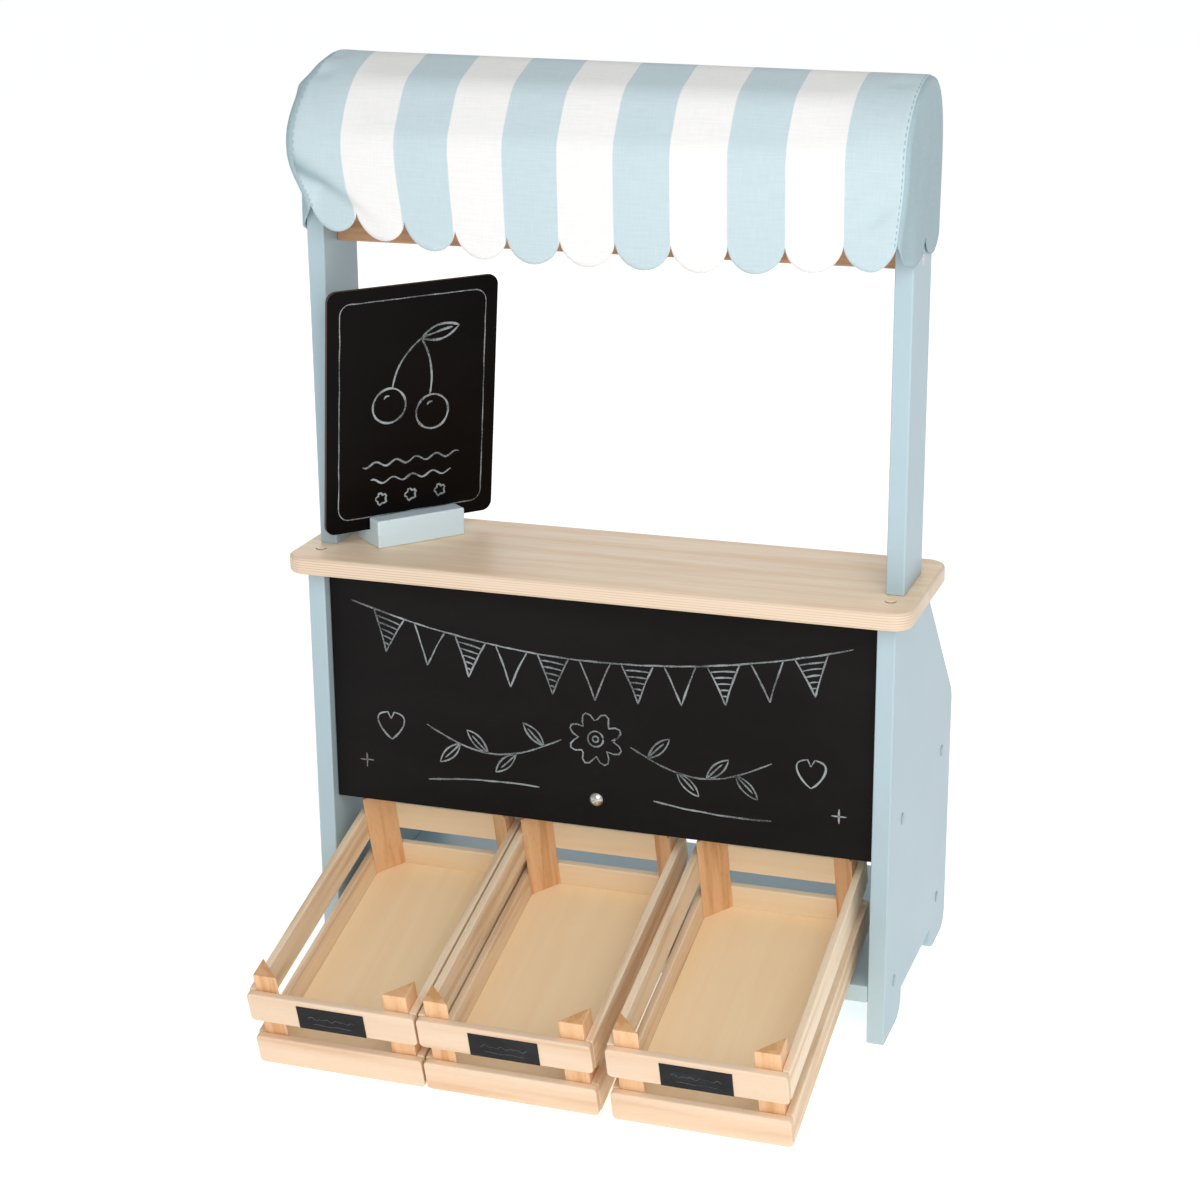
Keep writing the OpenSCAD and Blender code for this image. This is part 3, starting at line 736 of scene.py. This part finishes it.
def over_bars(angle):
    """Distance of the cloth from the roof's axis where it is pulled flat between the bars."""
    reach = CLOTH_R - BEND_R
    half = BAR_STEP / 2
    if abs(angle - math.pi / 2) > 2 * BAR_STEP:
        return CLOTH_R
    off = abs((angle - math.pi / 2 + half) % BAR_STEP - half)
    flat = reach * math.cos(half) + BEND_R
    if half - off < math.atan(reach * math.sin(half) / flat):
        return flat / math.cos(half - off)
    return reach * math.cos(off) + math.sqrt(BEND_R ** 2 - (reach * math.sin(off)) ** 2)


# Side, angle from the front and depth of the small puckers along the end seams, how
# far in from the end they lie, and their reach along and across the cloth.
PUCKERS = [(LEFT, 0.95, 0.0017), (LEFT, 1.3, 0.001), (RIGHT, 1.2, 0.0011), (LEFT, 2.3, 0.0012),
           (RIGHT, 2.1, 0.0014)]
PUCKER_IN = 0.013
PUCKER_L = 0.008
PUCKER_W = 0.0048

# How the cloth has shifted on the frame: leaning at the top, drawn in at the left end,
# tucked in below a sloping fold, lifted at its hems, and dented near the right corner.
TOP_LEAN = 0.0025
END_DRAWN = 0.0005
END_DRAWN_TOP = 0.0085
FOLD_SLOPE = 0.75
TUCK_IN = 0.0125
HEM_OUT = 0.005
HEM_DRAWN = 0.0068
FOLD_DRAWN = 0.002
LEFT_LIFT = 0.0145
CORNER_LIFT = 0.012
RIGHT_DRAWN = 0.0045
RIGHT_LIFT = 0.0065
DENT_X = 0.183
DENT_Z = 0.5405
DENT_IN = 0.0026
SKIRT_IN = 0.0018
SKIRT_SWAY = 0.0014
RIPPLE = 0.0005


def settled(x, y, z):
    """Where a point of the taut barrel ends up: loose over the left end, with slack skirts."""
    depth = (ROOF_Y - y) / CLOTH_R
    rise = max(0.0, (z - ROOF_Z) / CLOTH_R)
    drop = smooth((ROOF_Z + 0.002 - z) / (ROOF_Z - HEM_LOW))
    ahead = smooth((depth - 0.44) / 0.34)
    behind = smooth((-depth - 0.66) / 0.25)
    above = smooth((z - POST_TOP - 0.003) / 0.014)
    from_left = x + END_X
    from_right = END_X - x
    leftness = from_right / (2 * END_X)

    def left(reach):
        """Eases from 1 at the left end to 0 at a reach from it."""
        return smooth(1 - from_left / reach)

    moved = Vector((x, y, z))
    moved.z += SLACK * leftness * rise ** 1.5
    moved.x += rise ** 2 * TOP_LEAN * (1 + leftness)
    moved.x += max(ahead, behind, above) * left(0.04) * (END_DRAWN + END_DRAWN_TOP * rise ** 2)
    fold_z = ROOF_Z - 0.002 - FOLD_SLOPE * from_left
    under = smooth((fold_z - z) / (0.015 + 0.05 * left(0.022)))
    lean = smooth((fold_z - 0.005 - z) / 0.055)
    moved.y += ahead * (TUCK_IN * under - HEM_OUT * drop) * left(0.08)
    moved.x += HEM_DRAWN * ahead * drop * left(0.19)
    moved.x += FOLD_DRAWN * ahead * lean * left(0.04)
    moved.z += LEFT_LIFT * ahead * drop * left(0.16)
    corner = smooth((depth - 0.1) / 0.4) * smooth((0.98 - depth) / 0.15)
    moved.z += CORNER_LIFT * corner * drop * left(0.006)
    moved.x -= RIGHT_DRAWN * ahead * drop * smooth(1 - from_right / 0.03)
    moved.z += RIGHT_LIFT * drop * smooth(1 - from_right / 0.13)
    dent_along = (x - DENT_X) * 0.8 + (z - DENT_Z) * 0.6
    dent_across = (z - DENT_Z) * 0.8 - (x - DENT_X) * 0.6
    moved.y += DENT_IN * ahead * math.exp(-(dent_along / 0.011) ** 2 - (dent_across / 0.0048) ** 2)
    sway = noise.noise(Vector((11 * x, 9 * y, 16 * z + 2.0)))
    moved.y += depth * drop * (SKIRT_IN + SKIRT_SWAY * sway)
    moved.y -= depth * RIPPLE * noise.noise(Vector((22 * x, 14 * y, 18 * z)))
    angle = math.atan2(z - ROOF_Z, ROOF_Y - y)
    for side, at, deep in PUCKERS:
        near = math.exp(-((END_X - side * x - PUCKER_IN) / PUCKER_L) ** 2)
        gap = CLOTH_R * (angle - at) / PUCKER_W
        dip = deep * near * (math.exp(-gap * gap) - 0.5 * math.exp(-((gap - 2.2) / 1.2) ** 2))
        moved += Vector((0, math.cos(angle), -math.sin(angle))) * dip
    return moved


def on_barrel(x, inset, run):
    """A point of the cloth, a length up and over from where the front skirt meets the arch."""
    angle = min(max(run / CLOTH_R, 0.0), math.pi)
    taut = smooth((end_low.x - 0.002 - abs(x)) / 0.03)
    radius = CLOTH_R - taut * (CLOTH_R - over_bars(angle)) - inset
    below = min(run, 0.0) + min(OVER - run, 0.0)
    return settled(x, ROOF_Y - radius * math.cos(angle), ROOF_Z + radius * math.sin(angle) + below)


# Painted shade along the fold over the tucked corner: how far below the fold it lies, how its line slopes,
# how wide and how dark it is.
FOLD_SHADE_DROP = 0.009
FOLD_SHADE_SLOPE = 0.72
FOLD_SHADE_W = 0.008
FOLD_SHADE_DEEP = 0.7


def painted_fold_shade_at(x, run):
    """How much painted shade darkens the cloth along the fold over the tucked corner, at a length up the
    front skirt.
    """
    from_left = x + END_X
    off = (run + FOLD_SHADE_DROP + FOLD_SHADE_SLOPE * from_left) / FOLD_SHADE_W
    fading = smooth(1 - from_left / 0.055) * smooth(from_left / 0.004 + 0.4)
    return FOLD_SHADE_DEEP * math.exp(-off * off) * fading


def turned_over(side, run):
    """Place across, and depth under the barrel's face, a run past where the cloth turns over an end."""
    bend = min(max(run / TURN_R[side], 0.0), math.pi / 2)
    across = END_X - TURN_R[side] + min(run, 0.0) + TURN_R[side] * math.sin(bend)
    inset = TURN_R[side] * (1 - math.cos(bend)) + max(0.0, run - TURN_R[side] * math.pi / 2)
    return side * across, inset


GROOVE_IN = 0.0007
GROOVE_W = 0.0012


def seam_groove(run):
    """Depth to which a seam draws the cloth in, at a distance from it."""
    return GROOVE_IN * math.exp(-(run / GROOVE_W) ** 2)


def scallop_z(along, pitch):
    """Height of a scalloped hem at a distance along it."""
    radius = ((pitch / 2) ** 2 + SCALLOP_H ** 2) / (2 * SCALLOP_H)
    off = min(max(along, 1e-6), SCALLOPS * pitch - 1e-6) % pitch - pitch / 2
    return HEM_LOW + radius - math.sqrt(max(0.0, radius ** 2 - off ** 2))


SKIRT_ROWS = 20
ARCH_ROWS = 66


def hem_to_hem(hem):
    """Lengths along a column of the cloth, from the front hem over the roof to the rear hem."""
    skirt = [(hem - ROOF_Z) * (1 - k / SKIRT_ROWS) for k in range(SKIRT_ROWS)]
    arch = [OVER * k / ARCH_ROWS for k in range(ARCH_ROWS + 1)]
    return skirt + arch + [OVER - run for run in reversed(skirt)]


def woven_cotton(name, blue, white=None):
    """Plain-woven cotton with thicker weft threads, dyed in one blue or in broad blue and white stripes."""
    material, tree = surface(name)
    cloth = add(tree, "Attribute", attribute_name="cloth")
    slub_way = add(tree, "Mapping", {"Vector": cloth.outputs["Vector"], "Scale": (0.06, 1.0, 1.0)})
    slubs = add(tree, "TexNoise", {"Vector": slub_way, "Scale": 1000 / 1.1, "Detail": 2.0})
    warp_way = add(tree, "Mapping", {"Vector": cloth.outputs["Vector"], "Scale": (1.0, 0.08, 1.0)})
    warp = add(tree, "TexNoise", {"Vector": warp_way, "Scale": 1000 / 1.0, "Detail": 1.0})
    weave = add(tree, "Mix", {0: 0.4, 2: slubs, 3: warp})
    shade = add(tree, "MapRange", {0: weave, 1: 0.25, 2: 0.75, 3: 0.0, 4: 1.0})
    colour = add(tree, "Mix", {0: shade, 6: linear(blue[0]), 7: linear(blue[1])}, data_type="RGBA")
    if white:
        white_threads = add(tree, "Mix", {0: shade, 6: linear(white[0]), 7: linear(white[1])},
                            data_type="RGBA")
        split = add(tree, "SeparateXYZ", {0: cloth.outputs["Vector"]})
        bleed = add(tree, "MapRange", {0: warp, 1: 0.2, 2: 0.8, 3: -0.0002, 4: 0.0002})
        place = add(tree, "Math", {0: split.outputs["X"], 1: bleed}, operation="ADD")
        place = add(tree, "Math", {0: place, 1: STRIPE_START}, operation="ADD")
        wave = add(tree, "Math", {0: place, 1: math.pi / STRIPE_W}, operation="MULTIPLY")
        wave = add(tree, "Math", {0: wave}, operation="SINE")
        edge = add(tree, "MapRange", {0: wave, 1: -0.03, 2: 0.03, 3: 0.0, 4: 1.0})
        colour = add(tree, "Mix", {0: edge, 6: white_threads.outputs[2], 7: colour.outputs[2]},
                     data_type="RGBA")
    # Painted shade: the cloth is mixed towards a dark grey blue along the fold over the tucked corner, where
    # the fold's shadow falls.
    crease = add(tree, "Attribute", attribute_name="crease")
    colour = add(tree, "Mix", {0: crease.outputs["Fac"], 6: colour.outputs[2], 7: linear("#5f7d88")},
                 data_type="RGBA")
    relief = add(tree, "Bump", {"Height": weave, "Strength": 0.14, "Distance": 0.0003})
    shader = add(tree, "BsdfPrincipled", {"Base Color": colour.outputs[2], "Roughness": 0.85,
                                          "Sheen Weight": 0.1, "Sheen Roughness": 0.5,
                                          "Specular IOR Level": 0.2, "Normal": relief})
    add(tree, "OutputMaterial", {"Surface": shader})
    return material


# Plain-woven cotton: matt, with slubs along the weft. The threads are drawn at
# about 1.1 mm, twice too coarse, so that the weave shows in the render.
STRIPE_W = 0.0359
STRIPE_START = 0.0016
striped_cotton = woven_cotton("cotton_woven_striped", ("#b5c8cf", "#c1d2d7"), ("#dfdfde", "#e9e9e8"))
blue_cotton = woven_cotton("cotton_woven_blue", ("#98aeb5", "#a3b9bf"))


def cloth_piece(name, columns, material):
    """A sheet through columns of points, with their places on the flat cut and how much painted shade of the
    fold lies there.
    """
    rows = len(columns[0])
    faces = []
    for i in range(len(columns) - 1):
        for k in range(rows - 1):
            first = i * rows + k
            faces.append((first, first + rows, first + rows + 1, first + 1))
    mesh = bpy.data.meshes.new(name)
    mesh.from_pydata([point for column in columns for point, flat, crease in column], [], faces)
    flats = [c for column in columns for point, flat, crease in column for c in (*flat, 0.0)]
    mesh.attributes.new("cloth", "FLOAT_VECTOR", "POINT").data.foreach_set("vector", flats)
    painted_fold_shades = [crease for column in columns for point, flat, crease in column]
    mesh.attributes.new("crease", "FLOAT", "POINT").data.foreach_set("value", painted_fold_shades)
    sheet = bmesh.new()
    sheet.from_mesh(mesh)
    bmesh.ops.remove_doubles(sheet, verts=sheet.verts, dist=1e-6)
    bmesh.ops.recalc_face_normals(sheet, faces=sheet.faces)
    sheet.to_mesh(mesh)
    sheet.free()
    mesh.materials.append(material)
    mesh.shade_smooth()
    piece = placed(name, mesh)
    body_of_cloth = piece.modifiers.new("cloth_thickness", "SOLIDIFY")
    body_of_cloth.thickness = CLOTH_T
    body_of_cloth.offset = 0.0
    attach(piece, "stall")
    return piece


# Columns run round the barrel from hem to hem, closest together at the notches.
PER_SCALLOP = 16
SEAM_AT = {side: END_X - TURN_R[side] + SEAM_RUN[side] for side in (LEFT, RIGHT)}
COVER_W = SEAM_AT[LEFT] + SEAM_AT[RIGHT]
PITCH = COVER_W / SCALLOPS


def cover_place(across):
    """Place and depth of a column of the cover, at a distance from its left seam."""
    at = across - SEAM_AT[LEFT]
    side = LEFT if at < 0 else RIGHT
    x, inset = turned_over(side, abs(at) - (END_X - TURN_R[side]))
    return x, inset + seam_groove(across) + seam_groove(COVER_W - across)


cover_columns = []
for i in range(SCALLOPS * PER_SCALLOP + 1):
    share = 0.5 - 0.5 * math.cos(math.pi * (i % PER_SCALLOP) / PER_SCALLOP)
    across = PITCH * (i // PER_SCALLOP + share)
    x, inset = cover_place(across)
    runs = hem_to_hem(scallop_z(across, PITCH))
    cover_columns.append([(on_barrel(x, inset, run), (across, run), painted_fold_shade_at(x, run)) for run in runs])
cover = cloth_piece("awning_striped_cover", cover_columns, striped_cotton)
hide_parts("awning_cover")

# The end panels turn round the corner from the seam and meet along their middle.
END_COLUMNS = 30
END_WAVE = 0.0022
for side, name in ((LEFT, "left"), (RIGHT, "right")):
    half_w = TURN_R[side] * (math.pi / 2 - 1) + CLOTH_R - SEAM_RUN[side]
    columns = []
    for i in range(END_COLUMNS + 1):
        run_in = half_w * (0.5 - 0.5 * math.cos(math.pi * i / END_COLUMNS))
        x, inset = turned_over(side, run_in + SEAM_RUN[side])
        inset = min(inset + seam_groove(run_in), CLOTH_R)
        column = []
        for run in hem_to_hem(scallop_z(run_in, half_w)):
            point = on_barrel(x, inset, run)
            wave = abs(noise.noise(Vector((28 * point.y, 24 * point.z, 5.0 * side))))
            point.x += side * END_WAVE * wave * smooth(run_in / 0.035)
            column.append((point, (point.y, point.z), 0.0))
        columns.append(column)
    piece = cloth_piece("awning_end_panel_" + name, columns, blue_cotton)
    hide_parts("awning_end_" + name)

# Sewing thread: a twisted polyester thread in a deeper blue, in long topstitches.
thread = speckled("polyester_thread_twisted", "#86a7b3", "#98b7c2", 0.9, 1.0, {"Roughness": 0.6})
STITCH_L = 0.0028
STITCH_GAP = 0.0016
STITCH_R = 0.00036
STITCH_IN = 0.0011
STITCH_SIDES = 6
STITCH_FREE = 0.004
stitches = bmesh.new()
for side, across in ((LEFT, STITCH_IN), (RIGHT, COVER_W - STITCH_IN)):
    x, inset = cover_place(across)
    run = scallop_z(across, PITCH) - ROOF_Z + STITCH_FREE
    out = Vector((side, 0.0, 0.0))
    while run + STITCH_L < OVER - scallop_z(across, PITCH) + ROOF_Z - STITCH_FREE:
        start = on_barrel(x, inset - CLOTH_T / 2, run)
        end = on_barrel(x, inset - CLOTH_T / 2, run + STITCH_L)
        flank = (end - start).cross(out).normalized()
        turn = Matrix((out, flank, out.cross(flank))).transposed()
        rings = [turned_ring(stitches, start.lerp(end, share), turn, STITCH_R * size, 0.0, STITCH_SIDES)
                 for share, size in ((0.12, 0.7), (0.5, 1.0), (0.88, 0.7))]
        joined_rings(stitches, rings)
        for tip, rim in ((start, rings[0]), (end, rings[-1])):
            point = stitches.verts.new(tip)
            for k in range(STITCH_SIDES):
                stitches.faces.new((point, rim[k], rim[(k + 1) % STITCH_SIDES]))
        run += STITCH_L + STITCH_GAP
bmesh.ops.recalc_face_normals(stitches, faces=stitches.faces)
stitching = worked("awning_seam_stitches", stitches, 0, "stall", [thread], [])

# Crates: thin birch slats nailed to four triangular beech corner posts over a
# plywood floor. They lie tilted on the shelf's edge, each on its own body.
CRATE_TILT = math.radians(16)
SLAT_EASE = 0.0009
FLOOR_EASE = 0.0005
POST_EASE = 0.0006
LABEL_T = 0.0004
LABEL_LINE = 0.7
crate_turn = Matrix.Rotation(CRATE_TILT, 3, "X")

# Lacquered birch: pinkish cream, fine-grained, with soft broad streaks. The side and rear slats take paler
# copies of it, painted light for the light bounced into the crates; the floor, a light veneer, is paler
# still, partly its own colour and partly painted light. The riven posts are orange.
birch = lacquered_wood("birch_planed_lacquered", "#ead2b8", "#d4b08b", 14, 4, 0.12, 0.48)
side_birch_painted_light = lacquered_wood("birch_sawn_lacquered", "#f4dfc2", "#d5b088", 11, 5, 0.14, 0.48)
rear_birch_painted_light = lacquered_wood("birch_sapwood_lacquered", "#fdebcd", "#f0d3a8", 14, 4, 0.1, 0.48)
floor_birch_painted_light = lacquered_wood("birch_rotary_cut_lacquered", "#fde8c3", "#f1d0a2", 18, 3, 0.08, 0.5)
crate_beech = lacquered_wood("beech_riven_lacquered", "#efc396", "#d39b65", 8, 5, 0.22, 0.46)
label_black = chalk_black("chalk_foil_label", "#2c2d30", "#19191b", 12, 0.6, 0.2)
CRATE_SLATS = {"front_slats": birch, "rear_slats": rear_birch_painted_light, "side_slats": side_birch_painted_light}
for crate in ("crate_left", "crate_middle", "crate_right"):
    floor_node = crate + "_floor"
    worked(crate + "_birch_floor", whole_faces(floor_node), FLOOR_EASE, crate,
           [floor_birch_painted_light], [floor_node], crate_turn, 2)
    worked(crate + "_corner_posts", whole_faces(crate + "_posts"), POST_EASE, crate,
           [crate_beech], [crate + "_posts"], crate_turn, 2)
    for slats, wood in CRATE_SLATS.items():
        worked(crate + "_birch_" + slats, whole_faces(crate + "_" + slats), SLAT_EASE, crate,
               [wood], [crate + "_" + slats], crate_turn)
    keep_solid(crate + "_label", label_black)
    label_low, label_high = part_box(crate + "_label")
    label_mid = (label_low + label_high) / 2
    scribble = []
    phase = random.Random(crate).uniform(0, 6)
    for i in range(34):
        u = -16 + 32 * i / 33
        scribble.append((u, 1.2 * math.sin(0.9 * u + phase) * math.cos(0.23 * u) + 0.6))
    underline = [(-13 + 26 * i / 12, -4.2 + 0.3 * math.sin(i)) for i in range(13)]

    def on_label(u, v):
        """A point on a crate's label from millimetres across and up from its middle."""
        return label_mid + crate_turn @ Vector((u / 1000, -LABEL_T / 2 - CHALK_LIFT, v / 1000))

    drawn(crate + "_label_chalk", [scribble, underline], LABEL_LINE, on_label, crate, rubbed_chalk)

# Menu board: hardboard with rounded corners, black on both faces and brown at the
# sawn edge, standing loose in the slot of a painted foot.
MENU_TURN = math.radians(49.8)
MENU_LEAN = math.radians(6.2)
MENU_W = 125.0
MENU_H = 167.5
MENU_T = 0.003
FOOT_EASE = 0.0012
menu_turn = Matrix.Rotation(MENU_TURN, 3, "Z")
menu_pose = menu_turn @ Matrix.Rotation(MENU_LEAN, 3, "X")
# The foot takes a much paler copy of the panels' blue paint: painted light that brightens it where it stands
# in shade.
foot_paint_painted_light = sprayed_paint("satin_acrylic_paint_foot_painted_light", "#cfe3ec", "#d9ebf2", "#e0f0f5")
worked("painted_menu_foot", whole_faces("menu_foot"), FOOT_EASE, "menu_stand",
       [foot_paint_painted_light], ["menu_foot"], menu_turn)
menu_black = chalk_black("chalkboard_lacquer_sprayed", "#0e0a09", "#070505", 60, 0.26, 0.07)

# Sawn hardboard: dark brown pressed fibre, dull and slightly furry.
fibre = speckled("hardboard_sawn", "#3b2a1e", "#5d442f", 1.4, 3.0, {"Roughness": 0.8}, relief=(0.3, 0.0002))
menu = worked("black_menu_board", whole_faces("menu_board"), THIN_EASE, "menu_panel",
              [menu_black, fibre], ["menu_board"], menu_pose, 2)
menu_face = menu_pose @ Vector((0, -1, 0))
for polygon in menu.data.polygons:
    if abs(polygon.normal.dot(menu_face)) < 0.5:
        polygon.material_index = 1

menu_low, menu_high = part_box("menu_board")
menu_mid = (menu_low + menu_high) / 2


def on_menu(u, v):
    """A point on the menu board's front from millimetres across and up from its middle."""
    return menu_mid + menu_pose @ Vector((u / 1000, -MENU_T / 2 - CHALK_LIFT, v / 1000))


# A thin drawn border with round corners, and inside it a pair of cherries with a leaf,
# two waves and three small flowers, all in millimetres.
BORDER_IN = 9
BORDER_R = 8
BORDER_LINE = 0.8
MENU_LINE = 1.6
half_u = MENU_W / 2 - BORDER_IN
half_v = MENU_H / 2 - BORDER_IN
border = []
for quarter, (cu, cv) in enumerate(((1, 1), (-1, 1), (-1, -1), (1, -1))):
    for k in range(7):
        angle = math.radians(90 * quarter + 15 * k)
        border.append((cu * (half_u - BORDER_R) + BORDER_R * math.cos(angle),
                       cv * (half_v - BORDER_R) + BORDER_R * math.sin(angle)))
border.append(border[0])
sides = []
for a, b in zip(border, border[1:]):
    sides += line(a, b)[:-1]
sides.append(border[0])
menu_strokes = [sides]
menu_strokes += [ring(-17, 2, 12), ring(15, -6, 12), line((-15, 14), (6, 46), 4), line((13, 6), (6, 46), -4)]
menu_strokes += leaf((6, 46), (34, 52), 5)
menu_strokes += [line((-21, 7), (-17, 9), 1), line((11, -1), (15, 1), 1)]
for row in range(2):
    v = -38 - 12 * row
    reach = 36 - 6 * row
    menu_strokes.append([(u, v + 1.8 * math.sin(0.42 * u + row)) for u in range(-reach, reach + 1, 2)])
for u in (-22, 0, 22):
    menu_strokes.append(ring(u, -63, 2.6, 5, 1.8))
drawn("menu_board_border", menu_strokes[:1], BORDER_LINE, on_menu, "menu_panel", chalk)
drawn("menu_board_chalk", menu_strokes[1:], MENU_LINE, on_menu, "menu_panel", chalk)
